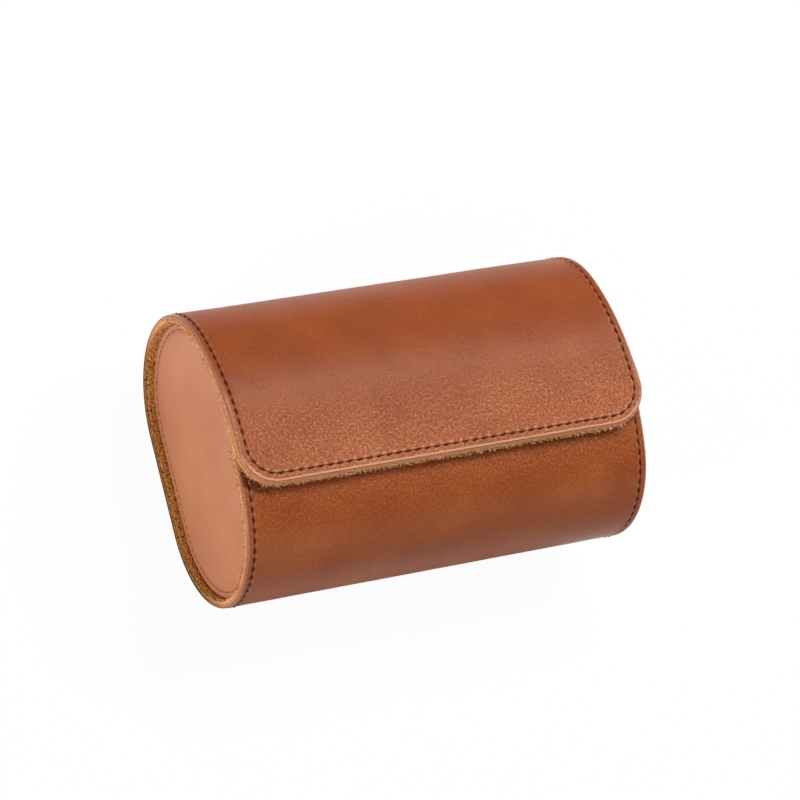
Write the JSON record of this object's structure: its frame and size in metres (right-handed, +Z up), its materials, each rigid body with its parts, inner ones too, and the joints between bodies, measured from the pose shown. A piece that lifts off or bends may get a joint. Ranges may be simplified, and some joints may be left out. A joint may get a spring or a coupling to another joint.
{
  "type": "leather watch roll",
  "caption": "Oval leather travel roll for watches, closed by a stitched flap, with a suede lining, recessed end panels and removable cushions on either side of a divider.",
  "frame": {"origin": "under the middle of the roll, on the surface that it rests on", "axes": "+X along the roll, +Y towards the back, where the lid folds, and +Z up"},
  "size_m": [0.14, 0.0932, 0.067],
  "materials": {
    "wrap_leather": "smooth cognac leather, semi-gloss",
    "panel_leather": "smooth tan leather, matt",
    "lining_suede": "ochre suede",
    "cushion_suede": "pale ochre suede",
    "board": "plain fibreboard",
    "thread": "waxed dark brown thread",
    "panel_thread": "fine tan thread",
    "magnet": "nickel plated",
    "foam": "open-cell foam"
  },
  "bodies": {
    "case": {"case_leather": "wrap_leather", "case_board": "board", "case_lining": "lining_suede", "case_side_stitching": "thread", "front_edge_stitching": "thread", "case_magnets": "magnet", "left_panel_leather": "panel_leather", "left_panel_board": "board", "left_panel_suede": "lining_suede", "left_panel_stitching": "panel_thread", "right_panel_leather": "panel_leather", "right_panel_board": "board", "right_panel_suede": "lining_suede", "right_panel_stitching": "panel_thread", "divider_board": "board", "divider_suede": "lining_suede"},
    "lid": {"lid_leather": "wrap_leather", "lid_board": "board", "lid_lining": "lining_suede", "lid_side_stitching": "thread"},
    "flap": {"flap_leather": "wrap_leather", "flap_board": "board", "flap_lining": "lining_suede", "flap_stitching": "thread", "flap_magnets": "magnet"},
    "left_cushion": {"left_cushion_foam": "foam", "left_cushion_band": "cushion_suede", "left_cushion_ends": "cushion_suede", "left_cushion_stitching": "panel_thread"},
    "right_cushion": {"right_cushion_foam": "foam", "right_cushion_band": "cushion_suede", "right_cushion_ends": "cushion_suede", "right_cushion_stitching": "panel_thread"}
  },
  "joints": [
    {"name": "lid_hinge", "type": "hinge", "parent": "case", "child": "lid", "pos_m": [0, 0.03492, 0.00644], "axis": [-1, 0, 0], "range_deg": [0, 76]},
    {"name": "flap_hinge", "type": "hinge", "parent": "lid", "child": "flap", "pos_m": [0, 0.00429, 0.06638], "axis": [-1, 0, 0], "range_deg": [0, 100]},
    {"name": "left_cushion_lift", "type": "slide", "parent": "case", "child": "left_cushion", "axis": [0, 0.866, 0.5], "range_m": [0, 0.0375]},
    {"name": "right_cushion_lift", "type": "slide", "parent": "case", "child": "right_cushion", "axis": [0, 0.866, 0.5], "range_m": [0, 0.0375]}
  ],
  "couplings": [
    {"joint": "left_cushion_lift", "follows": "lid_hinge", "m_per_rad": 0.028},
    {"joint": "right_cushion_lift", "follows": "lid_hinge", "m_per_rad": 0.028}
  ]
}
